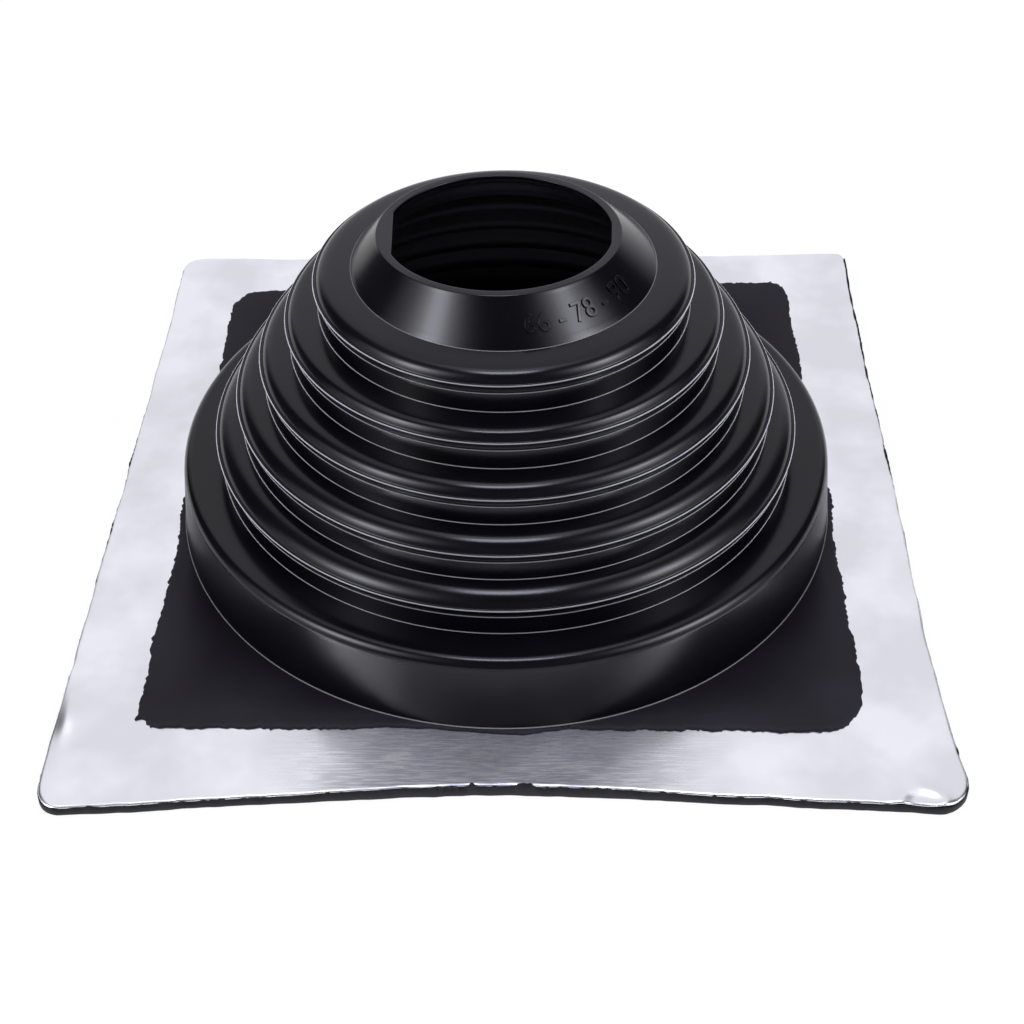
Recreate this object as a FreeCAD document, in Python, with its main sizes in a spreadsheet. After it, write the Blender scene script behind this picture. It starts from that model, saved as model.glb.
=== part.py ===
"""Pipe flashing boot: a stepped rubber cone on a square base with a soft metal sheet moulded into it.

Frame: +Z up, origin on the cone's axis at the underside of the base, millimetres.
"""
import FreeCAD, Part
import math
import os
import Sketcher

FOLDER = "parts"
TIERS = 5
MIDDLE_TIER = 3
SHOULDER_CHORDS = 2
SEAL_GROOVES = 2

document = FreeCAD.newDocument("FlashingBoot")

# Driving dimensions. Every sketch and feature below reads its sizes from this sheet.
DIMENSIONS = [
    # base: rubber pad, metal sheet and the rubber skirt that laps over the sheet's inner edge
    ("base_width", 256.0, "side of the square base"),
    ("base_corner", 12.0, "corner radius of the base"),
    ("pad_height", 3.0, "rubber under the sheet"),
    ("sheet_gauge", 0.8, "thickness of the metal sheet"),
    ("sheet_opening", 104.1, "radius of the hole in the sheet"),
    ("neck_radius", 104.0, "rubber that fills the sheet's hole"),
    ("skirt_width", 209.0, "side of the square skirt"),
    ("skirt_corner", 9.0, "corner radius of the skirt"),
    ("skirt_bulge", 108.0, "radius of the skirt where the ring comes near its sides"),
    ("skirt_height", 1.0, "rubber above the sheet"),
    # base ring: the tall plain ring that the tiers stand on
    ("ring_radius", 102.4, "outside of the ring below its shoulder"),
    ("ring_foot", 104.8, "outside of the ring at the skirt"),
    ("ring_top", 28.9, "top of the ring"),
    ("ring_shoulder", 4.0, "how far the ring's shoulder rounds off, inwards and down"),
    ("ring_fillet", 1.5, "sloping foot where the ring meets the skirt"),
    ("ring_wall", 3.0, "wall of the ring"),
    ("ring_bore", 101.5, "open underside of the boot"),
    # tiers: each is a tread and a riser, with two fine steps under a rounded shoulder
    ("tier_radius", 74.8, "widest radius of the middle tier"),
    ("tier_spread", 8.63, "radius gained per tier at the middle"),
    ("tier_bow", 0.25, "radius lost by the square of the distance from the middle"),
    ("tier_level", 64.0, "height of the middle tier's first step"),
    ("tier_drop", 12.88, "height lost per tier at the middle"),
    ("tier_sink", 0.16, "height lost by the square of the distance from the middle"),
    ("shoulder", 2.9, "how far a tier's shoulder rounds off, inwards and down"),
    ("shoulder_rise", 2.2, "from the first step up to the tread's outer edge"),
    ("groove_depth", 1.6, "depth of the groove under the first step"),
    ("groove_height", 3.1, "from the first step down to the second"),
    ("riser_inset", 1.0, "how far the riser stands back from the first step"),
    ("riser_height", 9.5, "from the first step down to the foot"),
    ("wall", 2.4, "wall of the tiers"),
    # collar: the trimmed cone on top
    ("collar_foot", 45.1, "outside of the collar at its foot"),
    ("collar_level", 92.8, "height of the collar's foot"),
    ("mouth_rim", 36.1, "outside of the collar at the mouth"),
    ("mouth_level", 102.0, "height of the trimmed rim"),
    ("mouth_radius", 33.3, "radius of the trimmed hole"),
    ("mouth_web", 28.0, "moulded lip before the hole is trimmed"),
    ("mouth_lip", 2.0, "thickness of the lip at the hole"),
    ("collar_wall", 2.75, "wall of the collar, measured level"),
    # sealing grooves in the underside
    ("seal_inset", 8.0, "from the base's edge to the outer groove"),
    ("seal_pitch", 6.0, "from one groove to the next"),
    ("seal_groove", 1.5, "width of a groove"),
    ("seal_depth", 0.8, "depth of a groove"),
]

sheet = document.addObject("Spreadsheet::Sheet", "Size")
sheet.Label = "Driving dimensions"
for row, (alias, value, meaning) in enumerate(DIMENSIONS, start=1):
    sheet.set(f"A{row}", meaning)
    sheet.set(f"B{row}", str(value))
    sheet.setAlias(f"B{row}", alias)
document.recompute()


def origin_plane(body, role):
    """Return one of the body's own origin planes, such as XY_Plane."""
    return next(item for item in body.Origin.OriginFeatures if item.Role == role)


def new_sketch(body, name, role, height=None):
    """Add a sketch on an origin plane, raised along the plane's normal where a height is given."""
    sketch = body.newObject("Sketcher::SketchObject", name)
    sketch.AttachmentSupport = [(origin_plane(body, role), "")]
    sketch.MapMode = "FlatFace"
    if height is not None:
        sketch.setExpression("AttachmentOffset.Base.z", height)
    return sketch


def bind(sketch, constraint, expression):
    """Add a dimension whose value the sheet drives."""
    index = sketch.addConstraint(constraint)
    sketch.setExpression(f"Constraints[{index}]", expression)


def place_point(sketch, line, across, up):
    """Hold the start of a line at driven distances from the sketch's origin."""
    for kind, expression in (("DistanceX", across), ("DistanceY", up)):
        value = float(sheet.evalExpression(expression))
        bind(sketch, Sketcher.Constraint(kind, -1, 1, line, 1, value), expression)


def draw_section(sketch, corners):
    """Draw a closed section through driven corners, each given as expressions for across and up."""
    points = []
    for across, up in corners:
        points.append(FreeCAD.Vector(float(sheet.evalExpression(across)), float(sheet.evalExpression(up)), 0))
    count = len(corners)
    for index in range(count):
        sketch.addGeometry(Part.LineSegment(points[index], points[(index + 1) % count]))
    for index, (across, up) in enumerate(corners):
        sketch.addConstraint(Sketcher.Constraint("Coincident", index, 2, (index + 1) % count, 1))
        place_point(sketch, index, across, up)


def rounded_shoulder(edge, top, size):
    """Corners of a shoulder that turns from level to upright in equal chords of a quarter circle."""
    corners = []
    for step in range(SHOULDER_CHORDS + 1):
        turn = math.pi / 2 * step / SHOULDER_CHORDS
        inwards = f"{edge} - {size} * {1 - math.sin(turn):.6f}"
        down = f"{top} - {size} * {1 - math.cos(turn):.6f}"
        corners.append((inwards, down))
    return corners


def draw_circle(sketch, radius):
    """Draw a circle on the sketch's origin with a driven radius."""
    size = float(sheet.evalExpression(radius))
    circle = sketch.addGeometry(Part.Circle(FreeCAD.Vector(0, 0, 0), FreeCAD.Vector(0, 0, 1), size))
    sketch.addConstraint(Sketcher.Constraint("Coincident", circle, 3, -1, 1))
    bind(sketch, Sketcher.Constraint("Radius", circle, size), radius)


def draw_rounded_square(sketch, width, corner):
    """Draw a centred square with rounded corners, its side and corner radius driven."""
    half = float(sheet.evalExpression(width)) / 2
    radius = float(sheet.evalExpression(corner))
    inner = half - radius
    diagonal = radius * 0.5 ** 0.5
    sides = []
    arcs = []
    # The four sides run anticlockwise from the front, each followed by its corner.
    for along, out in (((1, 0), (0, -1)), ((0, 1), (1, 0)), ((-1, 0), (0, 1)), ((0, -1), (-1, 0))):
        along = FreeCAD.Vector(*along, 0)
        out = FreeCAD.Vector(*out, 0)
        sides.append(sketch.addGeometry(
            Part.LineSegment(out * half - along * inner, out * half + along * inner)))
        centre = out * inner + along * inner
        arcs.append(sketch.addGeometry(
            Part.Arc(centre + out * radius, centre + (out + along) * diagonal, centre + along * radius)))
    for index in range(4):
        sketch.addConstraint(Sketcher.Constraint("Tangent", sides[index], 2, arcs[index], 1))
        sketch.addConstraint(Sketcher.Constraint("Tangent", arcs[index], 2, sides[(index + 1) % 4], 1))
        direction = "Horizontal" if index % 2 == 0 else "Vertical"
        sketch.addConstraint(Sketcher.Constraint(direction, sides[index]))
    for index in range(3):
        sketch.addConstraint(Sketcher.Constraint("Equal", arcs[index], arcs[index + 1]))
    sketch.addConstraint(Sketcher.Constraint("Symmetric", arcs[0], 3, arcs[2], 3, -1, 1))
    bind(sketch, Sketcher.Constraint("Radius", arcs[0], radius), corner)
    bind(sketch, Sketcher.Constraint("DistanceX", sides[3], 1, sides[1], 1, 2 * half), width)
    bind(sketch, Sketcher.Constraint("DistanceY", sides[0], 1, sides[2], 1, 2 * half), width)


def pad(body, name, sketch, height):
    """Pad a sketch upwards by a driven height."""
    feature = body.newObject("PartDesign::Pad", name)
    feature.Profile = sketch
    feature.setExpression("Length", height)
    feature.Refine = True
    document.recompute()
    return feature


def revolve(body, name, sketch):
    """Turn a section once round the sketch's vertical axis."""
    feature = body.newObject("PartDesign::Revolution", name)
    feature.Profile = sketch
    feature.ReferenceAxis = (sketch, ["V_Axis"])
    feature.Angle = 360.0
    feature.Refine = True
    document.recompute()
    return feature


def pocket(body, name, sketch, depth, upwards):
    """Cut a sketch out of the body to a driven depth, and make sure that it did cut."""
    before = body.Shape.Volume
    feature = body.newObject("PartDesign::Pocket", name)
    feature.Profile = sketch
    feature.setExpression("Length", depth)
    feature.Reversed = upwards
    feature.Refine = True
    document.recompute()
    if feature.Shape.Volume >= before:
        raise RuntimeError(f"{name} removed nothing")
    return feature


def new_body(label):
    """Start a sub-part whose label names its file."""
    body = document.addObject("PartDesign::Body", label)
    body.Label = label
    body.Placement = FreeCAD.Placement()
    return body


def from_middle(tier):
    """Count tiers from the middle one, negative towards the mouth."""
    return tier - MIDDLE_TIER


def tier_edge(tier):
    """Widest radius of a tier. The flank is bowed, so the tiers spread less towards the base."""
    steps = from_middle(tier)
    return f"(Size.tier_radius + {steps} * Size.tier_spread - {steps ** 2} * Size.tier_bow)"


def tier_step(tier):
    """Height of a tier's first fine step, at its widest radius."""
    steps = from_middle(tier)
    return f"(Size.tier_level - {steps} * Size.tier_drop - {steps ** 2} * Size.tier_sink)"


def foot_radius(tier):
    """Outside of the wall where a tier stands on the next one. Tier 0 is the collar."""
    if tier == 0:
        return "Size.collar_foot"
    return f"({tier_edge(tier)} - Size.riser_inset)"


def foot_level(tier):
    """Height of the inner end of the tread under a tier. Tier 0 is the collar."""
    if tier == 0:
        return "Size.collar_level"
    return f"({tier_step(tier)} - Size.riser_height)"


def inner_radius(tier):
    """Inside of the wall at a tier's foot."""
    return f"({foot_radius(tier)} - Size.wall)"


# --- Rubber boot -------------------------------------------------------------------------------
# One moulding: pad, skirt, base ring, five tiers and collar, all with an open inside.
boot = new_body("rubber_boot")

pad_sketch = new_sketch(boot, "PadOutline", "XY_Plane")
draw_rounded_square(pad_sketch, "Size.base_width", "Size.base_corner")
draw_circle(pad_sketch, "Size.ring_bore")
pad(boot, "BasePad", pad_sketch, "Size.pad_height")

# The neck runs up through the hole in the sheet and carries the skirt that laps over the sheet.
neck_sketch = new_sketch(boot, "NeckOutline", "XY_Plane", "Size.pad_height")
draw_circle(neck_sketch, "Size.neck_radius")
draw_circle(neck_sketch, "Size.ring_bore")
pad(boot, "Neck", neck_sketch, "Size.sheet_gauge")

skirt_sketch = new_sketch(boot, "SkirtOutline", "XY_Plane", "Size.pad_height + Size.sheet_gauge")
draw_rounded_square(skirt_sketch, "Size.skirt_width", "Size.skirt_corner")
draw_circle(skirt_sketch, "Size.ring_bore")
pad(boot, "Skirt", skirt_sketch, "Size.skirt_height")

bulge_sketch = new_sketch(boot, "SkirtBulges", "XY_Plane", "Size.pad_height + Size.sheet_gauge")
draw_circle(bulge_sketch, "Size.skirt_bulge")
draw_circle(bulge_sketch, "Size.ring_bore")
pad(boot, "SkirtRound", bulge_sketch, "Size.skirt_height")

# Base ring: a flared wall with a rounded shoulder, and a fillet where it meets the skirt.
skirt_top = "(Size.pad_height + Size.sheet_gauge + Size.skirt_height)"
ring_sketch = new_sketch(boot, "RingSection", "XZ_Plane")
draw_section(ring_sketch, [
    (inner_radius(TIERS), foot_level(TIERS)),
    (foot_radius(TIERS), foot_level(TIERS)),
    *rounded_shoulder("Size.ring_radius", "Size.ring_top", "Size.ring_shoulder"),
    ("Size.ring_foot", f"{skirt_top} + Size.ring_fillet"),
    ("Size.ring_foot + Size.ring_fillet", skirt_top),
    ("Size.ring_foot + Size.ring_fillet", f"{skirt_top} - Size.skirt_height"),
    ("Size.ring_bore", f"{skirt_top} - Size.skirt_height"),
    ("Size.ring_radius - Size.ring_wall", f"{foot_level(TIERS)} - Size.wall"),
    (inner_radius(TIERS), f"{foot_level(TIERS)} - Size.wall"),
])
revolve(boot, "BaseRing", ring_sketch)

# Tiers: a tread, a rounded shoulder, a fine step over a groove, a second step and a plain riser. The
# inside follows the outside.
for tier in range(TIERS, 0, -1):
    edge = tier_edge(tier)
    step = tier_step(tier)
    above = tier - 1
    tread = f"({step} + Size.shoulder_rise)"
    groove = f"({edge} - Size.groove_depth)"
    second_step = f"({step} - Size.groove_height)"
    riser = foot_radius(tier)
    tier_sketch = new_sketch(boot, f"TierSection{tier}", "XZ_Plane")
    draw_section(tier_sketch, [
        (inner_radius(above), foot_level(above)),
        (foot_radius(above), foot_level(above)),
        *rounded_shoulder(edge, tread, "Size.shoulder"),
        (groove, f"{tread} - Size.shoulder"),
        (groove, second_step),
        (riser, second_step),
        (riser, foot_level(tier)),
        (inner_radius(tier), foot_level(tier)),
        (inner_radius(tier), f"{tread} - Size.wall"),
        (inner_radius(above), f"{tread} - Size.wall"),
    ])
    revolve(boot, f"Tier{tier}", tier_sketch)

# Collar: a short cone, closed in by a lip at the mouth until the hole is trimmed.
collar_slope = "(Size.collar_foot - Size.mouth_rim) / (Size.mouth_level - Size.collar_level)"
lip_under = "(Size.mouth_level - Size.mouth_lip)"
collar_sketch = new_sketch(boot, "CollarSection", "XZ_Plane")
draw_section(collar_sketch, [
    ("Size.mouth_web", "Size.mouth_level"),
    ("Size.mouth_rim", "Size.mouth_level"),
    ("Size.collar_foot", "Size.collar_level"),
    (inner_radius(0), "Size.collar_level"),
    (f"Size.mouth_rim - Size.collar_wall + Size.mouth_lip * {collar_slope}", lip_under),
    ("Size.mouth_web", lip_under),
])
revolve(boot, "Collar", collar_sketch)

# The hole is trimmed to the pipe's size.
mouth_sketch = new_sketch(boot, "MouthOutline", "XY_Plane", "Size.mouth_level")
draw_circle(mouth_sketch, "Size.mouth_radius")
pocket(boot, "TrimmedMouth", mouth_sketch, "Size.mouth_lip", upwards=False)

# Sealing grooves run round the underside, inside the edge of the base.
for groove in range(SEAL_GROOVES):
    inset = f"(Size.seal_inset + {groove} * Size.seal_pitch)"
    inner_inset = f"({inset} + Size.seal_groove)"
    seal_sketch = new_sketch(boot, f"SealOutline{groove + 1}", "XY_Plane")
    for edge_inset in (inset, inner_inset):
        draw_rounded_square(seal_sketch, f"Size.base_width - 2 * {edge_inset}", "Size.base_corner")
    pocket(boot, f"SealGroove{groove + 1}", seal_sketch, "Size.seal_depth", upwards=True)

# --- Aluminium sheet ---------------------------------------------------------------------------
# One flat blank with rounded corners and a round hole, held between the pad and the skirt.
metal = new_body("aluminium_sheet")
metal_sketch = new_sketch(metal, "SheetOutline", "XY_Plane", "Size.pad_height")
draw_rounded_square(metal_sketch, "Size.base_width", "Size.base_corner")
draw_circle(metal_sketch, "Size.sheet_opening")
pad(metal, "Blank", metal_sketch, "Size.sheet_gauge")

# --- Checks and files --------------------------------------------------------------------------
document.recompute()
for item in document.Objects:
    if "Invalid" in item.State or "Error" in item.State:
        raise RuntimeError(f"{item.Name} did not recompute: {item.State}")

os.makedirs(FOLDER, exist_ok=True)
for body in (boot, metal):
    shape = body.Shape
    if shape.isNull() or not shape.isValid() or len(shape.Solids) != 1:
        raise RuntimeError(f"{body.Label} is not one sound solid")
    shape.exportStep(os.path.join(FOLDER, f"{body.Label}.step"))
    box = shape.BoundBox
    print(f"{body.Label}: {box.XLength:.2f} x {box.YLength:.2f} x {box.ZLength:.2f} mm, "
          f"volume {shape.Volume / 1000:.1f} cm3, faces {len(shape.Faces)}")
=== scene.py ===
"""A pipe flashing boot: a stepped rubber cone on a square base, with a soft metal sheet moulded into it."""
import bpy
import math
import numpy as np
from mathutils import Matrix, Vector, noise


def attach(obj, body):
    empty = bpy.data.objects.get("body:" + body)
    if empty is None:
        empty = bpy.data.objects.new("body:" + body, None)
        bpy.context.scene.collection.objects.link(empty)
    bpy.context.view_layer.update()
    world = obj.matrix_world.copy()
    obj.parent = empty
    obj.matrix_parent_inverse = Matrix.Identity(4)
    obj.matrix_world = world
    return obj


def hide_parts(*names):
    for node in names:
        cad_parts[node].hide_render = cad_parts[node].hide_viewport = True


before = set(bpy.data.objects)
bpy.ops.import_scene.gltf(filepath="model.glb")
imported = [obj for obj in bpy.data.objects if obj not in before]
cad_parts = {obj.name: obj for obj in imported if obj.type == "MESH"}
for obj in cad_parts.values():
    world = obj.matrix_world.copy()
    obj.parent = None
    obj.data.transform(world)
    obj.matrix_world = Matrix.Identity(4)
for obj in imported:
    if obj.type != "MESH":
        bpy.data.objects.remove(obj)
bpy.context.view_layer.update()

# --- Stepped cone ----------------------------------------------------------------------------------
# The tall part of the boot: a collar, five tiers and a plain base ring, one black EPDM moulding. It is a
# body of revolution, so its section is drawn once and spun. Only the collar's top is cut by hand, a little
# out of level, with a flat on each side of the hole.

# Sizes are in millimetres. A pair is a radius and a height in the section.
MM = 0.001
TIERS = 5
MIDDLE_TIER = 3
TIER_RADIUS, TIER_SPREAD, TIER_BOW = 74.8, 8.63, 0.25
TIER_LEVEL, TIER_DROP, TIER_SINK = 64.0, 12.88, 0.16
TREAD_SLOPE, SHOULDER_SLOPE = 4.0, 42.0
TREAD_RISE = 2.2
BEAD_RADIUS = 0.33
RISER_INSET = 1.0
RISER_FOOT = (1.02, 9.45)
CREASE_RADIUS = 0.17
COLLAR_FOOT = (45.0, 92.6)
RIM = (36.1, 102.0)
RIM_EDGE = 0.5
HOLE = 33.3
HOLE_EDGE = 0.22
WALL = 2.4
INSIDE_CORNER = 0.9
BORE = 101.5
RING_SHOULDER = (99.35, 25.45)
RING_SHOULDER_RADIUS = 3.1
RING_FOOT = (104.98, 5.05)


def arc(centre, radius, start, finish, steps):
    """Points on an arc in the section, with angles in degrees from outwards, anticlockwise."""
    angles = np.radians(np.linspace(start, finish, steps + 1))
    return [(centre[0] + radius * math.cos(a), centre[1] + radius * math.sin(a)) for a in angles]


def beside(corner, *steps):
    """Points that lie small steps outwards and upwards from a corner of the section."""
    return [(corner[0] + out, corner[1] + up) for out, up in steps]


def mark_glint_and_dullness(points, amount=1.0):
    """Mark points of the section that are painted lighter as highlight lines, or with -1 those of the duller
    inside.
    """
    return [(radius, height, amount) for radius, height in points]


def crown(start, start_slope, finish, finish_slope, steps):
    """Points on a rounded tread that falls ever more steeply, from one slope in degrees to another."""
    first, last = math.tan(math.radians(start_slope)), math.tan(math.radians(finish_slope))
    width, drop = finish[0] - start[0], start[1] - finish[1]
    power = (last - first) / (drop / width - first)
    points = []
    for step in range(steps + 1):
        share = 1.0 - (1.0 - step / steps) ** 1.6
        fall = first * share * width + (drop - first * width) * share ** power
        points.append((start[0] + share * width, start[1] - fall))
    return points


def tier_edge(tier):
    """Widest radius of a tier, and the height of that edge."""
    steps = tier - MIDDLE_TIER
    radius = TIER_RADIUS + TIER_SPREAD * steps - TIER_BOW * steps ** 2
    height = TIER_LEVEL - TIER_DROP * steps - TIER_SINK * steps ** 2
    return radius, height


def tier_foot(tier):
    """Where a tier's riser meets the tread below it."""
    radius, height = tier_edge(tier)
    return radius - RISER_FOOT[0], height - RISER_FOOT[1]


def crease(foot, wall_side, amount=1.0):
    """The line painted lighter as a highlight where a wall meets the tread below it, from the angle at which
    the wall comes in.
    """
    centre = (foot[0] + CREASE_RADIUS, foot[1] + CREASE_RADIUS)
    return mark_glint_and_dullness(arc(centre, CREASE_RADIUS, wall_side, 262, 4), amount)


def outside_of_tier(tier):
    """Tread, rounded shoulder, bead, groove under it, lower step and riser, from the inside outwards."""
    edge = tier_edge(tier)
    start = COLLAR_FOOT if tier == 1 else tier_foot(tier - 1)
    points = crease(start, 225, 0.6) if tier == 1 else crease(start, 190)
    shoulder = (edge[0] - 2.1, edge[1] + 1.75)
    points += crown((start[0] + 0.25, start[1]), TREAD_SLOPE, shoulder, SHOULDER_SLOPE, 14)
    points += beside(edge, (-1.75, 1.38), (-1.45, 0.98), (-1.2, 0.60), (-1.02, 0.25))
    points += beside(edge, (-0.9, 0.10), (-0.75, 0.05), (-0.6, 0.08))
    bead = (edge[0] - BEAD_RADIUS, edge[1] - 0.14)
    points += arc(bead, BEAD_RADIUS, 110, 85, 1)
    # The bead's outer face and the lower step's nose are painted as highlight lines.
    points += mark_glint_and_dullness(arc(bead, BEAD_RADIUS, 72, 22, 3))
    points += arc(bead, BEAD_RADIUS, 8, -75, 4)
    points += beside(edge, (-0.8, -0.62), (-1.3, -0.9), (-1.42, -1.5), (-1.45, -2.85))
    points += beside(edge, (-1.45, -2.95), (-1.42, -3.05), (-1.36, -3.08), (-1.24, -3.08))
    lower_step = (edge[0] - 1.2, edge[1] - 3.25)
    points += mark_glint_and_dullness(arc(lower_step, 0.2, 85, 35, 2))
    points += beside(edge, (-RISER_INSET, -3.28), (-RISER_INSET, -3.4), (-RISER_INSET, -4.6))
    points += beside(edge, (-RISER_FOOT[0], -9.22))
    return points


def inside_of_tier(tier):
    """The hollow side of a tier, which follows the outside at the wall's thickness."""
    radius, height = tier_edge(tier)
    above = COLLAR_FOOT if tier == 1 else tier_foot(tier - 1)
    ceiling = height + TREAD_RISE - WALL
    inner = radius - RISER_INSET - WALL
    points = [(inner, height - RISER_FOOT[1] + 0.3), (inner, ceiling - 1.1)]
    points += arc((inner - INSIDE_CORNER, ceiling - INSIDE_CORNER), INSIDE_CORNER, 0, 90, 4)
    points += beside((above[0] - WALL, ceiling), (0.5, 0.0), (0.1, 0.15))
    return points


def cone_section():
    """The whole cut section, up the inside from the base and down the outside to the skirt."""
    points = [(BORE, 0.5), (BORE, 4.0), (99.5, 24.4), (99.4, 24.9)]
    points += arc((98.6, 24.9), 0.8, 0, 90, 4)
    points += [(88.2, 25.7)]
    for tier in range(TIERS, 0, -1):
        points += inside_of_tier(tier)
    points += [(42.6, 92.2), (36.6, 98.9), (35.6, 99.7), (34.5, 99.95), (33.6, 100.0), (33.32, 100.2)]
    points = mark_glint_and_dullness(points, -1.0)
    points += arc((HOLE + HOLE_EDGE, RIM[1] - HOLE_EDGE), HOLE_EDGE, 180, 90, 3)
    points += [(HOLE + 0.8, RIM[1]), (RIM[0] - 0.9, RIM[1])]
    points += arc((RIM[0] - RIM_EDGE, RIM[1] - RIM_EDGE), RIM_EDGE, 90, 45, 4)
    points += beside(RIM, (0.2, -0.55), (0.5, -0.85))
    points += beside(COLLAR_FOOT, (-1.5, 1.65), (-1.2, 1.35), (-0.55, 0.75), (-0.05, 0.16))
    for tier in range(1, TIERS + 1):
        points += outside_of_tier(tier)
    foot = tier_foot(TIERS)
    points += crease(foot, 190)
    points += beside(foot, (0.24, 0.0), (1.2, 0.0))
    points += [(97.6, 28.5)]
    points += arc(RING_SHOULDER, RING_SHOULDER_RADIUS, 96, 6, 14)
    points += [(102.55, 25.0), (102.63, 24.4), (104.7, 5.9), (104.77, 5.2)]
    # The ring's foot is painted as a highlight line.
    points += mark_glint_and_dullness(arc(RING_FOOT, 0.2, 185, 262, 4), 0.75)
    points += [(105.05, 4.83), (105.4, 4.5), (106.0, 0.6)]
    return points


class Wire:
    """A node's output that works in Python arithmetic: each operation adds the Math node it needs."""

    def __init__(self, tree, socket):
        self.tree = tree
        self.socket = socket

    def math(self, operation, *others):
        """Any other operation of the Math node, on this value and others."""
        inputs = dict(enumerate((self, *others)))
        return add_node(self.tree, "ShaderNodeMath", {"operation": operation}, inputs)

    def __add__(self, other):
        return self.math("ADD", other)

    def __radd__(self, other):
        return self.math("ADD", other)

    def __sub__(self, other):
        return self.math("SUBTRACT", other)

    def __rsub__(self, other):
        return (self * -1.0).math("ADD", other)

    def __mul__(self, other):
        return self.math("MULTIPLY", other)

    def __truediv__(self, other):
        return self.math("DIVIDE", other)

    def __pow__(self, other):
        return self.math("POWER", other)

    def limit(self):
        """The value kept between 0 and 1."""
        return self.math("MINIMUM", 1.0).math("MAXIMUM", 0.0)


def add_node(tree, kind, settings=None, inputs=None, output=0):
    """Add any node: first its settings and ramp stops, then the values or links of its sockets."""
    node = tree.nodes.new(kind)
    for name, value in (settings or {}).items():
        if name == "stops":
            ramp = node.color_ramp.elements
            while len(ramp) < len(value):
                ramp.new(0.5)
            for element, (place, colour) in zip(ramp, value):
                element.position = place
                element.color = (*colour, 1.0)
        else:
            setattr(node, name, value)
    for name, value in (inputs or {}).items():
        if isinstance(value, Wire):
            tree.links.new(value.socket, node.inputs[name])
        else:
            node.inputs[name].default_value = value
    return Wire(tree, node.outputs[output]) if node.outputs else None


# Colours of the painted highlight lines on beads and creases, at the boot's front and at its sides.
PAINTED_GLINT_FRONT = (0.18, 0.18, 0.19, 1.0)
PAINTED_GLINT_SIDE = (0.46, 0.46, 0.48, 1.0)
RING_TOP = 0.0265


def rubber_material(name, colour, roughness, shine, skin_depth):
    """Black EPDM from a steel mould: a little uneven in gloss, with a fine moulded skin and painted highlight
    lines on its edges.
    """
    material = bpy.data.materials.new(name)
    material.use_nodes = True
    tree = material.node_tree
    tree.nodes.clear()
    place = add_node(tree, "ShaderNodeTexCoord", output=3)
    clouds = add_node(tree, "ShaderNodeTexNoise", inputs={"Vector": place, "Scale": 38.0, "Detail": 4.0})
    skin = add_node(tree, "ShaderNodeTexNoise", inputs={"Vector": place, "Scale": 1500.0, "Detail": 2.0})
    darker = tuple(0.75 * channel for channel in colour)
    lighter = tuple(1.25 * channel for channel in colour)
    tint = add_node(tree, "ShaderNodeValToRGB", {"stops": [(0.3, darker), (0.7, lighter)]}, {"Fac": clouds})
    rub = add_node(tree, "ShaderNodeAttribute", {"attribute_name": "rub"}, output=2)
    across = add_node(tree, "ShaderNodeSeparateXYZ", inputs={0: place}, output=0)
    away = add_node(tree, "ShaderNodeSeparateXYZ", inputs={0: place}, output=1)
    height = add_node(tree, "ShaderNodeSeparateXYZ", inputs={0: place}, output=2)

    # Painted highlights: hair lines on the beads and creases, painted lighter at the sides of the boot than
    # at its front.
    side = across * across / (across * across + away * away + 0.0001) * rub.math("GREATER_THAN", 0.9)
    painted_glint_colour = add_node(tree, "ShaderNodeMix", {"data_type": "RGBA"},
                     {0: side, 6: PAINTED_GLINT_FRONT, 7: PAINTED_GLINT_SIDE}, output=2)
    colour_with_painted_glints = add_node(tree, "ShaderNodeMix", {"data_type": "RGBA"}, {0: rub, 6: tint, 7: painted_glint_colour}, output=2)

    # The ring's wall and the inside come off the mould duller than the tiers.
    ring_wall = ((RING_TOP - height) / 0.002).limit()
    inside = (rub * -1.0).limit()
    dull = ring_wall * 0.14 + inside * 0.18
    bump = add_node(tree, "ShaderNodeBump",
                    inputs={"Strength": skin_depth, "Distance": 0.0001, "Height": skin})
    shader = add_node(tree, "ShaderNodeBsdfPrincipled", inputs={
        "Base Color": colour_with_painted_glints, "Roughness": roughness + clouds * 0.06 + dull, "Normal": bump,
        "Specular IOR Level": shine})
    add_node(tree, "ShaderNodeOutputMaterial", inputs={"Surface": shader})
    return material


TRIM_SLOPE = 0.17    # how much taller the collar is cut at the front, as a share of its height
COLLAR_LEAN = -1.3   # how far the rim sits off the axis, to the right
HOLE_LIP = 1.2       # how far out from the hole its flats reach


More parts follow.
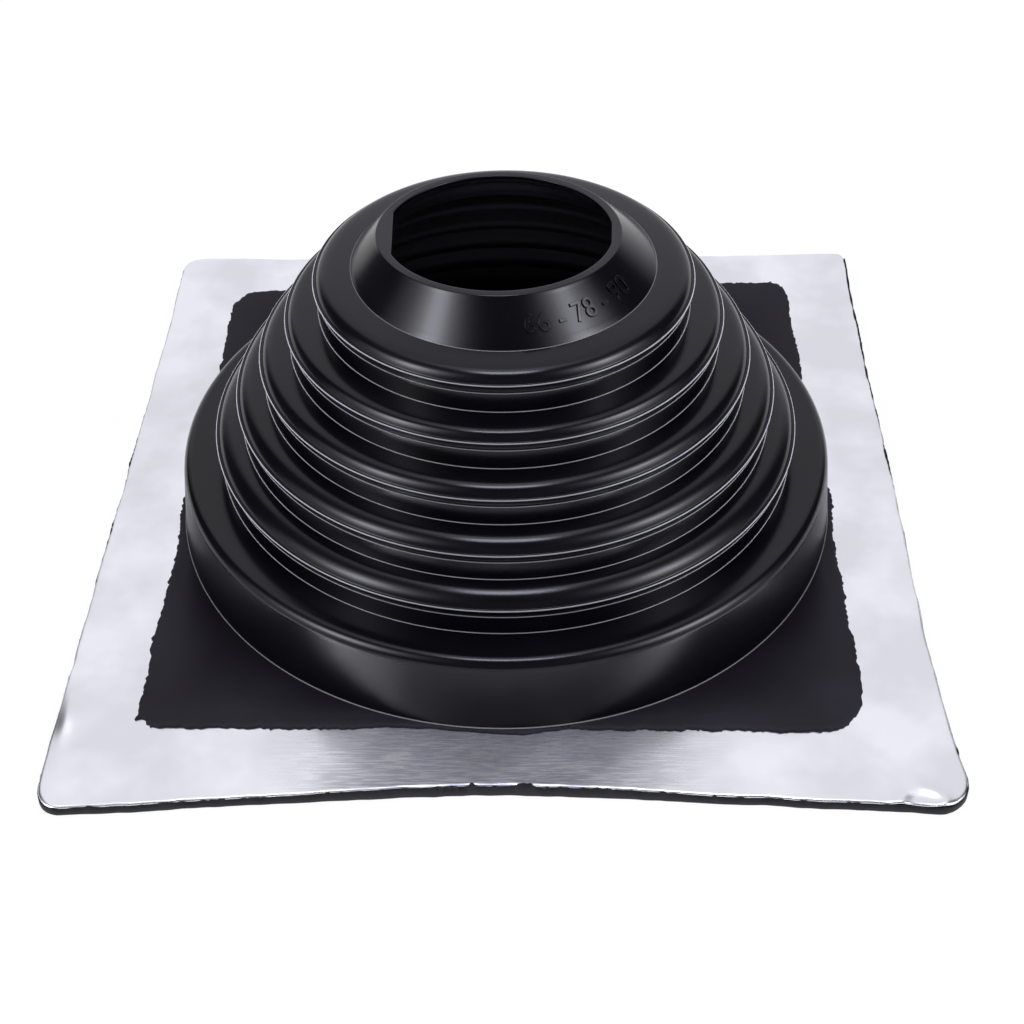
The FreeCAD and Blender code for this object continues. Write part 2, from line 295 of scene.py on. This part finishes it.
def spinning_tree(material):
    """Geometry nodes that spin a section round the upright axis and trim the collar's top."""
    tree = bpy.data.node_groups.new("spin_and_trim", "GeometryNodeTree")
    tree.interface.new_socket("Geometry", in_out="OUTPUT", socket_type="NodeSocketGeometry")
    for name, kind, value in (("Section", "NodeSocketObject", None),
                              ("Segments", "NodeSocketInt", 256),
                              ("Trim slope", "NodeSocketFloat", TRIM_SLOPE),
                              ("Lean", "NodeSocketFloat", COLLAR_LEAN * MM),
                              ("Left flat", "NodeSocketFloat", 31.0 * MM),
                              ("Right flat", "NodeSocketFloat", 32.8 * MM)):
        socket = tree.interface.new_socket(name, in_out="INPUT", socket_type=kind)
        if value is not None:
            socket.default_value = value
    group = tree.nodes.new("NodeGroupInput")
    given = {output.name: Wire(tree, output) for output in group.outputs if output.name}
    section = add_node(tree, "GeometryNodeObjectInfo", inputs={"Object": given["Section"]}, output=4)
    count = add_node(tree, "GeometryNodeAttributeDomainSize", inputs={"Geometry": section})
    grid = add_node(tree, "GeometryNodeMeshGrid", inputs={
        "Size X": 1.0, "Size Y": 1.0, "Vertices X": given["Segments"] + 1.0, "Vertices Y": count})
    index = add_node(tree, "GeometryNodeInputIndex")
    column = (index / count).math("FLOOR")
    along = index - column * count
    place = add_node(tree, "GeometryNodeInputPosition")
    drawn = add_node(tree, "GeometryNodeSampleIndex", {"data_type": "FLOAT_VECTOR", "domain": "POINT"},
                     {"Geometry": section, "Value": place, "Index": along})
    radius = add_node(tree, "ShaderNodeSeparateXYZ", inputs={0: drawn}, output=0)
    height = add_node(tree, "ShaderNodeSeparateXYZ", inputs={0: drawn}, output=2)
    turn = column / given["Segments"] * (2 * math.pi)
    across, away = turn.math("COSINE"), turn.math("SINE")

    # Above the collar's foot the cone runs further up at the front than at the back, where it is cut lower.
    collar_height = (RIM[1] - COLLAR_FOOT[1]) * MM
    share = ((height - COLLAR_FOOT[1] * MM) / collar_height).limit()
    growth = away * given["Trim slope"] * -1.0 * share
    cut_radius = radius - growth * ((COLLAR_FOOT[0] - RIM[0]) * MM)
    cut_height = height + growth * collar_height

    # Each flat is a chord of the hole: the lip reaches further in there.
    left_chord = given["Left flat"] / (across * -1.0).math("MAXIMUM", 0.1)
    right_chord = given["Right flat"] / across.math("MAXIMUM", 0.1)
    reach = (HOLE * MM - left_chord.math("MINIMUM", right_chord)).math("MAXIMUM", 0.0)
    on_lip = (((HOLE + HOLE_LIP) * MM - radius) / (HOLE_LIP * MM)).limit()
    lip_radius = cut_radius - reach * on_lip

    position = add_node(tree, "ShaderNodeCombineXYZ", inputs={
        0: lip_radius * across + given["Lean"] * share, 1: lip_radius * away, 2: cut_height})
    moved = add_node(tree, "GeometryNodeSetPosition", inputs={"Geometry": grid, "Position": position})
    # The section's marks go round with it: painted highlight lines, and -1 for the duller inside.
    marks = add_node(tree, "GeometryNodeInputNamedAttribute", {"data_type": "FLOAT"}, {"Name": "rub"})
    drawn_marks = add_node(tree, "GeometryNodeSampleIndex", {"data_type": "FLOAT", "domain": "POINT"},
                           {"Geometry": section, "Value": marks, "Index": along})
    marked = add_node(tree, "GeometryNodeStoreNamedAttribute", {"data_type": "FLOAT", "domain": "POINT"},
                      {"Geometry": moved, "Name": "rub", "Value": drawn_marks})
    closed = add_node(tree, "GeometryNodeMergeByDistance", inputs={"Geometry": marked, "Distance": 0.00001})
    smooth = add_node(tree, "GeometryNodeSetShadeSmooth", inputs={"Geometry": closed, "Shade Smooth": True})
    real = add_node(tree, "GeometryNodeRealizeInstances", inputs={"Geometry": smooth})
    painted = add_node(tree, "GeometryNodeSetMaterial", inputs={"Geometry": real, "Material": material})
    add_node(tree, "NodeGroupOutput", inputs={"Geometry": painted})
    return tree


rubber = rubber_material("black_epdm", (0.0020, 0.0018, 0.0028),
                         roughness=0.15, shine=0.28, skin_depth=0.05)
outline = cone_section()
section_mesh = bpy.data.meshes.new("cone_section")
section_mesh.from_pydata([(point[0] * MM, 0.0, point[1] * MM) for point in outline], [], [])
# Each point of the section keeps its mark: painted highlight lines, and -1 for the duller inside.
rub = section_mesh.attributes.new("rub", "FLOAT", "POINT")
rub.data.foreach_set("value", [point[2] if len(point) > 2 else 0.0 for point in outline])
section = bpy.data.objects.new("cone_section", section_mesh)
blank = bpy.data.objects.new("cone_blank", bpy.data.meshes.new("cone_blank"))
for part in (section, blank):
    bpy.context.scene.collection.objects.link(part)
spin = blank.modifiers.new("spin", "NODES")
spin.node_group = spinning_tree(rubber)
for socket in spin.node_group.interface.items_tree:
    if socket.in_out == "INPUT" and socket.name == "Section":
        spin[socket.identifier] = section
spun = bpy.data.meshes.new_from_object(blank.evaluated_get(bpy.context.evaluated_depsgraph_get()))
spun.name = "boot_cone"
cone = bpy.data.objects.new("boot_cone", spun)
bpy.context.scene.collection.objects.link(cone)
for part in (blank, section):
    bpy.data.objects.remove(part)
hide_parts("rubber_boot")
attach(cone, "root")

# --- Size marks ------------------------------------------------------------------------------------
# Plain raised numbers on the collar's front: the diameters of the hole, of the collar's middle and of its
# foot, in millimetres. The mould cuts them half a millimetre deep, so they stand up by that.

MARK_SIZE = 8.0
MARK_MIDDLE = 36.0    # degrees round from the front, to the right
MARK_BASELINE = 4.4   # up the slope from the collar's foot
MARK_RADIUS = 41.5    # of the arc that the numbers follow

slope = math.hypot(COLLAR_FOOT[0] - RIM[0], RIM[1] - COLLAR_FOOT[1])
inwards, upwards = (COLLAR_FOOT[0] - RIM[0]) / slope, (RIM[1] - COLLAR_FOOT[1]) / slope
lettering = bpy.data.curves.new("marks", "FONT")
lettering.body = "66 - 78 - 90"
lettering.size = MARK_SIZE
lettering.align_x = "CENTER"
lettering.extrude = 0.38
lettering.bevel_depth = 0.09
lettering.bevel_resolution = 1
drawing = bpy.data.objects.new("marks", lettering)
bpy.context.scene.collection.objects.link(drawing)
marks = bpy.data.meshes.new_from_object(drawing.evaluated_get(bpy.context.evaluated_depsgraph_get()))
bpy.data.objects.remove(drawing)
for vertex in marks.vertices:
    along, up_slope, proud = vertex.co
    up_slope += MARK_BASELINE
    radius = COLLAR_FOOT[0] - up_slope * inwards + proud * upwards
    height = COLLAR_FOOT[1] + up_slope * upwards + proud * inwards
    turn = math.radians(MARK_MIDDLE) + along / MARK_RADIUS
    share = (height - COLLAR_FOOT[1]) / (RIM[1] - COLLAR_FOOT[1]) / (1 + TRIM_SLOPE * math.cos(turn))
    vertex.co = Vector((radius * math.sin(turn) + COLLAR_LEAN * share, -radius * math.cos(turn), height)) * MM
marks.materials.clear()
marks.materials.append(rubber)
marks.name = "size_marks"
size_marks = bpy.data.objects.new("size_marks", marks)
bpy.context.scene.collection.objects.link(size_marks)
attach(size_marks, "root")

# --- Rubber pad ------------------------------------------------------------------------------------
# The flat underside of the boot: a 3 mm square of the same rubber under the metal, with two sealing grooves
# in its underside. Its edge was trimmed with the metal and follows it, and shows as a dark line.

HALF = 128.0
BASE_STEPS = 1440
BASE_CORNERS = (3.0, 6.5, 7.5, 9.5)   # back right, back left, front left, front right
PAD_TOP = 3.0
FLASH = 0.35   # how far the pad stands out past the metal's edge
SEAL_GROOVES = (7.9, 13.9)
SEAL_DEPTH = 0.8
pad_rubber = rubber_material("pad_epdm", (0.0030, 0.0027, 0.0038),
                             roughness=0.36, shine=0.30, skin_depth=0.05)


def rounded_square(half, corner, turn):
    """Distance from the axis to a rounded square, at an angle."""
    across, up = abs(math.cos(turn)), abs(math.sin(turn))
    inner = half - corner
    if across * half < up * inner or up * half < across * inner:
        return half / max(across, up)
    along = (across + up) * inner
    return along + math.sqrt(max(along ** 2 - 2 * inner ** 2 + corner ** 2, 0.0))


def wander(x, y, size, seed):
    """Smooth random value from -1 to 1 that changes over a distance in millimetres."""
    return noise.noise(Vector((x / size, y / size, seed * 7.3)))


def base_edge(turn):
    """Where the trimmed edge of the base lies, at an angle from the right side by way of the back."""
    corner = BASE_CORNERS[int(turn / (math.pi / 2)) % 4]
    distance = rounded_square(HALF, corner, turn)
    x, y = distance * math.cos(turn), distance * math.sin(turn)
    front, back, side = max(-y, 0.0) / HALF, max(y, 0.0) / HALF, abs(x) / HALF

    # The front is bowed in at its middle and drawn out at its corners. The back lies out, most at the right.
    bowed_in = 3.2 - (7.2 if x < 0 else 5.2) * (abs(x) / 110.0) ** 1.2
    y += bowed_in * front ** 8
    y += (2.5 + 1.3 * max(x / HALF, 0.0)) * back ** 6

    # The right side is cut in toward the front, and the left side a little all along.
    if x > 0:
        cut_in = 1.6 * math.exp(-((y + 70) / 45) ** 2)
        x += side ** 8 * (0.4 * max(y / HALF, 0.0) ** 2 + 1.4 * front ** 6 - cut_in)
    else:
        x += side ** 8 * 0.9
    x += 0.35 * wander(x, y, 16.0, 1) + 0.2 * wander(x, y, 5.0, 2)
    y += 0.45 * wander(x, y, 16.0, 3) + 0.25 * wander(x, y, 5.0, 4)
    return x, y


def base_lift(x, y):
    """How far the soft base has lifted off the flat, most along its back edge."""
    back = max((y - 40.0) / 90.0, 0.0)
    lift = (4.0 + 1.4 * max(x / HALF, 0.0)) * back ** 2.2
    lift += 0.35 * wander(x, y, 40.0, 5) * min(max(abs(x), abs(y)) / HALF, 1.0) ** 6
    return max(lift, 0.0)


def lifted(level):
    """The height of a face of the base, at a level above its underside."""
    return lambda x, y: level + base_lift(x, y)


def middle_rise(x, y):
    """How far the middle of the front edge curls up."""
    return math.exp(-((x + 2) / 50) ** 4) * 0.0024 * max(-y - 104.0, 0.0) ** 2


turns = [2 * math.pi * step / BASE_STEPS for step in range(BASE_STEPS)]
edge_points = [base_edge(turn) for turn in turns]


def inset_point(turn, edge, inset):
    """A point inside the base's edge, on the line to the axis."""
    distance = math.hypot(*edge)
    scale = 1.0 - inset / (distance * max(abs(math.cos(turn)), abs(math.sin(turn))))
    return edge[0] * scale, edge[1] * scale


def edge_ring(inset, height):
    """A ring of points that follows the base's edge. The height is a function of the place."""
    points = []
    for turn, edge in zip(turns, edge_points):
        x, y = inset_point(turn, edge, inset)
        points.append((x, y, height(x, y)))
    return points


def part_way_ring(bore, inset, share, height):
    """A ring at a share of the way from a round opening to a ring that follows the base's edge."""
    points = []
    for turn, edge in zip(turns, edge_points):
        far = inset_point(turn, edge, inset)
        scale = bore / math.hypot(*far) * (1 - share) + share
        x, y = far[0] * scale, far[1] * scale
        points.append((x, y, height(x, y)))
    return points


def round_ring(radius, steps, height):
    """A round ring of points, as on the edge of an opening."""
    points = []
    for step in range(steps):
        turn = 2 * math.pi * step / steps
        x, y = radius * math.cos(turn), radius * math.sin(turn)
        points.append((x, y, height(x, y)))
    return points


def lip_height(x, y):
    """Top of the ragged flash against the metal's edge. It stands over the metal only in places."""
    proud = -0.55 + 0.5 * wander(x, y, 5.0, 31) + 0.5 * wander(x, y, 1.5, 32)
    if x > 110 and x > y > 0:
        thick_place = math.exp(-((y - 15) / 8.0) ** 4)
        proud += 0.7 * (y > 35) + 0.45 * (y > 60) + 1.3 * thick_place
    if x < -110 and (abs(y - 19) < 8 or abs(y + 21) < 17):
        proud += 0.35
    if y < -110:
        thin_tooth, broad_tooth = math.exp(-((x + 7.5) / 0.9) ** 2), math.exp(-((x - 7.0) / 2.4) ** 6)
        proud += 0.25 + 1.5 * max(wander(x, y, 2.4, 33) - 0.1, 0.0)
        proud += 1.9 * thin_tooth + 1.7 * broad_tooth
        proud += middle_rise(x, y)
    return 3.5 + max(proud, -0.45) + base_lift(x, y)


def joined_rings(rings):
    """Points and faces of a closed band: each ring is joined to the next, and the last to the first."""
    steps = len(rings[0])
    faces = []
    for row in range(len(rings)):
        below = row * steps
        above = (row + 1) % len(rings) * steps
        for step in range(steps):
            after = (step + 1) % steps
            faces.append((below + step, below + after, above + after, above + step))
    return [point for ring in rings for point in ring], faces


def mesh_piece(name, vertices, faces, material, smooth=True):
    """Make a mesh object from points in millimetres."""
    mesh = bpy.data.meshes.new(name)
    mesh.from_pydata([tuple(c * MM for c in v) for v in vertices], [], faces)
    mesh.materials.append(material)
    if smooth:
        mesh.shade_smooth()
    piece = bpy.data.objects.new(name, mesh)
    bpy.context.scene.collection.objects.link(piece)
    return piece


underside = [(0.0, 1.0), (0.35, 0.25), (0.9, 0.0)]
for groove in SEAL_GROOVES:
    underside += [(groove, 0.0), (groove + 0.3, SEAL_DEPTH), (groove + 1.4, SEAL_DEPTH), (groove + 1.7, 0.0)]
underside.append((20.0, 0.0))
pad_rings = [edge_ring(inset - FLASH, lifted(level)) for inset, level in underside]
pad_rings += [round_ring(BORE, BASE_STEPS, lifted(level)) for level in (0.0, PAD_TOP)]
pad_rings += [part_way_ring(BORE, 5.0, share, lifted(PAD_TOP)) for share in (0.2, 0.4, 0.6, 0.8, 1.0)]
pad_rings.append(edge_ring(0.1, lifted(PAD_TOP)))
for inset, drop in ((0.40, 0.1), (0.25, 0.0), (0.08, 0.12)):
    ring = []
    for turn, edge in zip(turns, edge_points):
        x, y = inset_point(turn, edge, inset - FLASH + 0.12 * wander(*edge, 12.0, 34))
        ring.append((x, y, lip_height(x, y) - drop))
    pad_rings.append(ring)
pad = mesh_piece("boot_pad", *joined_rings(pad_rings), pad_rubber)
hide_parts("rubber_boot")
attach(pad, "root")

# --- Rubber skirt ----------------------------------------------------------------------------------
# The lap of rubber that runs out over the metal and holds its inner edge. The mould leaves a thin ragged
# flash all round it.

SKIRT_STEPS = 2400
SKIRT_HALF = 104.5
SKIRT_BULGE = 106.3
SKIRT_CORNERS = (6.5, 9.0, 8.0, 14.0)   # in the same order as the base's
SKIRT_BORE = 101.8
SKIRT_TOP = 4.8
SLIVER_AT = 224.2
matt_rubber = rubber_material("matt_epdm", (0.0094, 0.0078, 0.0114),
                              roughness=0.45, shine=0.17, skin_depth=0.12)


def skirt_edge(turn, ragged):
    """A point on the skirt's edge. The back of it lies further out, more so at the right."""
    corner = SKIRT_CORNERS[int(turn / (math.pi / 2)) % 4]
    distance = max(rounded_square(SKIRT_HALF, corner, turn), SKIRT_BULGE)
    x, y = distance * math.cos(turn), distance * math.sin(turn)

    # The flash is thin at the front's middle, and a sliver of it stands out at the front left corner.
    ragged *= 1.0 - 0.75 * math.exp(-((x + 4) / 36) ** 4) * (y < 0)
    out = 0.8 * wander(x, y, 14.0, 11)
    out += ragged * (0.8 * wander(x, y, 4.0, 12) + 0.55 * wander(x, y, 1.4, 13))
    sliver = math.degrees(turn) - SLIVER_AT
    out += ragged * (1.9 * math.exp(-(sliver / 0.22) ** 2) - 0.7 * math.exp(-((sliver - 0.7) / 0.35) ** 2))
    out += ragged * 1.7 * max(wander(x, y, 0.9, 14) - 0.3, 0.0)
    x *= 1 + out / distance
    y *= 1 + out / distance
    if y > 0:
        y += (y / SKIRT_HALF) ** 4 * (7.8 + 2.6 * x / SKIRT_HALF)
    return x, y


skirt_rings = [round_ring(SKIRT_BORE, SKIRT_STEPS, lifted(level)) for level in (3.2, SKIRT_TOP)]
for inset, level, ragged in ((5.0, SKIRT_TOP, 0), (2.4, SKIRT_TOP, 0.15), (1.2, 4.75, 0.6), (0.45, 4.55, 1),
                             (0.0, 4.1, 1), (0.4, 3.3, 1)):
    ring = []
    for step in range(SKIRT_STEPS):
        x, y = skirt_edge(2 * math.pi * step / SKIRT_STEPS, ragged)
        x *= 1 - inset / math.hypot(x, y)
        y *= 1 - inset / math.hypot(x, y)
        ring.append((x, y, level + base_lift(x, y)))
    skirt_rings.append(ring)
skirt = mesh_piece("boot_skirt", *joined_rings(skirt_rings), matt_rubber)
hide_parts("rubber_boot")
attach(skirt, "root")

# --- Aluminium sheet -------------------------------------------------------------------------------
# A square of soft rolled aluminium, 0.8 mm thick, bonded to the pad. It is dressed by hand, so its surface
# is softly dented and its edge waves.

SHEET_GAUGE = 0.8
SHEET_BORE = 102.5
SHEET_INSETS = (7.0, 5.2, 3.8, 2.8, 2.0, 1.4, 0.9, 0.5, 0.22, 0.08)
DULL_METAL, PLAIN_METAL, BRIGHT_METAL = (0.78, 0.783, 0.79), (0.85, 0.852, 0.86), (0.92, 0.922, 0.93)
# Grey multiplied into the front edge's middle along the rolling lines: a painted dark reflection of the
# ring's wall.
PAINTED_REFLECTION_GREY = (0.47, 0.485, 0.525, 1.0)


def aluminium_material():
    """Soft rolled metal: bright, uneven in gloss, with faint rolling lines from side to side."""
    material = bpy.data.materials.new("soft_aluminium")
    material.use_nodes = True
    tree = material.node_tree
    tree.nodes.clear()
    place = add_node(tree, "ShaderNodeTexCoord", output=3)
    stretched = add_node(tree, "ShaderNodeMapping", inputs={"Vector": place, "Scale": (120.0, 1700.0, 1.0)})
    lines = add_node(tree, "ShaderNodeTexNoise", inputs={"Vector": stretched, "Scale": 1.0, "Detail": 3.0})
    blotches = add_node(tree, "ShaderNodeTexNoise", inputs={"Vector": place, "Scale": 34.0, "Detail": 3.0})
    dimples = add_node(tree, "ShaderNodeTexNoise", inputs={"Vector": place, "Scale": 55.0, "Detail": 1.0})
    stops = [(0.40, DULL_METAL), (0.52, PLAIN_METAL), (0.62, BRIGHT_METAL)]
    tint = add_node(tree, "ShaderNodeValToRGB", {"stops": stops}, {"Fac": blotches})
    across = add_node(tree, "ShaderNodeSeparateXYZ", inputs={0: place}, output=0)
    away = add_node(tree, "ShaderNodeSeparateXYZ", inputs={0: place}, output=1)

    # The front edge's middle is scuffed along the rolling lines, which makes it duller; a painted reflection
    # of the dark ring wall darkens it along them.
    scuffed_and_painted_dark = (((across + 0.002) / 0.046) ** 4.0 * -1.0).math("EXPONENT") * away.math("LESS_THAN", -0.09)
    streaks = ((lines - 0.40) / 0.15).limit()
    tint_with_painted_reflection = add_node(tree, "ShaderNodeMix", {"data_type": "RGBA", "blend_type": "MULTIPLY"},
                      {0: scuffed_and_painted_dark * streaks, 6: tint, 7: PAINTED_REFLECTION_GREY}, output=2)
    coarse = add_node(tree, "ShaderNodeBump", inputs={"Strength": 0.4, "Distance": 0.0010, "Height": dimples})
    fine = add_node(tree, "ShaderNodeBump", inputs={
        "Strength": 0.08 + scuffed_and_painted_dark * 0.32, "Distance": 0.00006, "Height": lines, "Normal": coarse})
    shader = add_node(tree, "ShaderNodeBsdfPrincipled", inputs={
        "Base Color": tint_with_painted_reflection, "Metallic": 1.0, "Roughness": 0.18 + lines * (0.12 + scuffed_and_painted_dark * 0.30),
        "Normal": fine})
    add_node(tree, "ShaderNodeOutputMaterial", inputs={"Surface": shader})
    return material


def sheet_height(x, y, inset):
    """Height of the sheet's top: flat by the skirt, softly dented, and turned down at the very edge."""
    middle = math.exp(-((x + 4) / 52) ** 4) * (y < 0)
    dents = (0.30 * wander(x, y, 26.0, 21) + 0.13 * wander(x, y, 11.0, 22)) * (1.0 - 0.8 * middle)
    side_bulge = 1.4 * math.exp(-((x + 123.5) / 3.2) ** 2 - ((y + 99) / 9) ** 2)
    buckle_at = math.hypot((x - 115) / 6.0, (y + 129) / 4.5)
    buckle = 0.7 * math.exp(-(buckle_at - 1.0) ** 2 / 0.12)
    fade = min(inset / 0.6, 1.0)
    turned_down = 0.30 * (1.0 - fade) ** 2
    return 3.85 + base_lift(x, y) + middle_rise(x, y) + dents + side_bulge + buckle - turned_down


def sheet_face(inset, drop=0.0):
    """The sheet's height at an inset from its edge, less a drop."""
    return lambda x, y: sheet_height(x, y, inset) - drop


aluminium = aluminium_material()
sheet_rings = [part_way_ring(SHEET_BORE, SHEET_INSETS[0], share, sheet_face(20.0))
               for share in (0.0, 0.2, 0.4, 0.6, 0.8)]
sheet_rings += [edge_ring(inset, sheet_face(inset)) for inset in SHEET_INSETS]
sheet_rings.append(edge_ring(0.0, sheet_face(0.0, 0.12)))
sheet_rings.append(edge_ring(0.0, sheet_face(0.9, 0.6)))
sheet_rings.append(edge_ring(0.3, sheet_face(0.9, SHEET_GAUGE)))
sheet_rings += [part_way_ring(SHEET_BORE, 5.0, share, lifted(PAD_TOP + 0.05))
                for share in (1.0, 0.8, 0.6, 0.4, 0.2, 0.0)]
sheet = mesh_piece("aluminium_rim", *joined_rings(sheet_rings), aluminium)
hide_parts("aluminium_sheet")
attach(sheet, "root")

# --- Studio ----------------------------------------------------------------------------------------
# A plain pale floor, a soft box on each side of the camera and one over the boot, in a white room. The
# ceiling, the front wall and the rear of the side walls are dark, which only the boot's own shine shows.

UNDER_BOOT, ROUND_BOOT = 0.112, 0.15   # in metres, as nodes measure
FLOOR_HALF = 4000


def floor_material():
    """White floor that keeps the shadow of what stands on it, and doesn't glow under the open boot."""
    material = bpy.data.materials.new("white_floor")
    material.use_nodes = True
    material.cycles.emission_sampling = "NONE"
    tree = material.node_tree
    tree.nodes.clear()
    place = add_node(tree, "ShaderNodeTexCoord", output=3)
    from_axis = add_node(tree, "ShaderNodeVectorMath", {"operation": "LENGTH"}, {0: place}, output=1)
    open_floor = from_axis.math("GREATER_THAN", UNDER_BOOT)
    across = add_node(tree, "ShaderNodeSeparateXYZ", inputs={0: place}, output=0).math("ABSOLUTE")
    away = add_node(tree, "ShaderNodeSeparateXYZ", inputs={0: place}, output=1).math("ABSOLUTE")
    clear_floor = across.math("MAXIMUM", away).math("GREATER_THAN", ROUND_BOOT)
    camera_ray = add_node(tree, "ShaderNodeLightPath", output=0)
    glossy_ray = add_node(tree, "ShaderNodeLightPath", output=3)
    clear_ray = add_node(tree, "ShaderNodeLightPath", output=6)
    seen = (camera_ray * open_floor).math("MAXIMUM", glossy_ray.math("MAXIMUM", clear_ray) * clear_floor)
    matt = add_node(tree, "ShaderNodeBsdfDiffuse", inputs={"Color": (0.85, 0.85, 0.85, 1.0)})
    white = add_node(tree, "ShaderNodeEmission", inputs={"Color": (1.0, 1.0, 1.0, 1.0), "Strength": 1.0})
    mixed = add_node(tree, "ShaderNodeMixShader", inputs={0: seen * 0.94, 1: matt, 2: white})
    add_node(tree, "ShaderNodeOutputMaterial", inputs={"Surface": mixed})
    return material


corners = [(x * FLOOR_HALF, y * FLOOR_HALF, 0) for x, y in ((-1, -1), (1, -1), (1, 1), (-1, 1))]
floor = mesh_piece("floor", corners, [(0, 1, 2, 3)], floor_material(), smooth=False)

world = bpy.data.worlds.new("studio")
bpy.context.scene.world = world
world.use_nodes = True
tree = world.node_tree
tree.nodes.clear()
direction = add_node(tree, "ShaderNodeTexCoord", output=0)
right = add_node(tree, "ShaderNodeSeparateXYZ", inputs={0: direction}, output=0)
back = add_node(tree, "ShaderNodeSeparateXYZ", inputs={0: direction}, output=1)
up = add_node(tree, "ShaderNodeSeparateXYZ", inputs={0: direction}, output=2)
flat = (right * right + back * back).math("SQRT").math("MAXIMUM", 0.001)
toward_back = back / flat


def facing(azimuth, elevation):
    """The unit vector of a direction. The azimuth is measured from the camera's side, to the right."""
    a, e = math.radians(azimuth), math.radians(elevation)
    return Vector((math.sin(a) * math.cos(e), -math.cos(a) * math.cos(e), math.sin(e)))


def lobe(azimuth, elevation, across, along, strength):
    """A soft glow in one direction, with its spread in degrees."""
    axis = facing(azimuth, elevation)
    level = Vector((math.cos(math.radians(azimuth)), math.sin(math.radians(azimuth)), 0.0))
    parts = []
    for side in (level, axis.cross(level), axis):
        parts.append(add_node(tree, "ShaderNodeVectorMath", {"operation": "DOT_PRODUCT"},
                              {0: direction, 1: side}, output=1))
    off = (parts[0] / math.radians(across)) ** 2.0 + (parts[1] / math.radians(along)) ** 2.0
    return (off * -0.5).math("EXPONENT") * parts[2].math("GREATER_THAN", 0.0) * strength


def rise(value, start, width):
    """0 up to a start, then rising to 1 over a width."""
    return ((value - start) / width).limit()


# The wall straight behind the boot stays white up to the ceiling. Each glow is a bright panel in the room.
not_far_back = 1.0 - rise(toward_back, 0.62, 0.2)
over = rise(up, 0.60, 0.12) * not_far_back
ceiling = rise(up, 0.84, 0.08)
rear_sides = rise(toward_back, -0.05, 0.2) * not_far_back * rise(up, -0.02, 0.08)
front_wall = rise(toward_back * -1.0, 0.55, 0.25) * 0.86
shade = over.math("MAXIMUM", ceiling).math("MAXIMUM", rear_sides).math("MAXIMUM", front_wall)
glow = lobe(-58, 38, 9, 11, 9.0) + lobe(67, 38, 9, 11, 9.0) + lobe(180, 74, 13, 6, 2.8)
room = 0.905 - shade * 0.845 + glow
camera_ray = add_node(tree, "ShaderNodeLightPath", output=0)
clear_ray = add_node(tree, "ShaderNodeLightPath", output=6)
seen = camera_ray.math("MAXIMUM", clear_ray)
strength = seen + (1.0 - seen) * room
tone = add_node(tree, "ShaderNodeMix", {"data_type": "RGBA"},
                {0: seen, 6: (0.965, 0.965, 1.045, 1.0), 7: (1.0, 1.0, 1.0, 1.0)}, output=2)
background = add_node(tree, "ShaderNodeBackground", inputs={"Color": tone, "Strength": strength})
add_node(tree, "ShaderNodeOutputWorld", inputs={"Surface": background})


def soft_box(name, azimuth, elevation, width, height, power):
    """An area lamp that faces the middle of the boot from 1.3 m away."""
    lamp = bpy.data.lights.new(name, "AREA")
    lamp.shape = "RECTANGLE"
    lamp.size = width
    lamp.size_y = height
    lamp.energy = power
    lamp.color = (0.93, 0.94, 1.14)
    holder = bpy.data.objects.new(name, lamp)
    toward = facing(azimuth, elevation)
    holder.location = toward * 1.3 + Vector((0.0, 0.0, 0.05))
    holder.rotation_euler = toward.to_track_quat("Z", "Y").to_euler()
    bpy.context.scene.collection.objects.link(holder)


soft_box("box_left", -58, 40, 0.24, 0.40, 1.2)
soft_box("box_right", 66, 40, 0.24, 0.40, 1.2)
soft_box("box_over", 0, 88, 0.36, 0.30, 4.6)

# The camera stands in front and looks down at the boot.
TURN, YAW, PITCH, ROLL = (math.radians(angle) for angle in (1.414, -0.244, 42.006, -0.602))
CAMERA_AWAY, CAMERA_HEIGHT = 406.42, 358.83
heading = TURN + YAW
forward = Vector((-math.sin(heading) * math.cos(PITCH), math.cos(heading) * math.cos(PITCH),
                  -math.sin(PITCH)))
level_right = Vector((math.cos(heading), math.sin(heading), 0.0))
level_up = level_right.cross(forward)
camera_right = level_right * math.cos(ROLL) + level_up * math.sin(ROLL)
camera_up = level_up * math.cos(ROLL) - level_right * math.sin(ROLL)
lens = bpy.data.cameras.new("camera")
lens.sensor_width = 36.0
lens.lens = 57.33
camera = bpy.data.objects.new("camera", lens)
axes = Matrix((camera_right, camera_up, -forward)).transposed().to_4x4()
place = Vector((math.sin(TURN) * CAMERA_AWAY, -math.cos(TURN) * CAMERA_AWAY, CAMERA_HEIGHT)) * MM
camera.matrix_world = Matrix.Translation(place) @ axes
bpy.context.scene.collection.objects.link(camera)
bpy.context.scene.camera = camera
bpy.context.scene.view_settings.view_transform = "Standard"
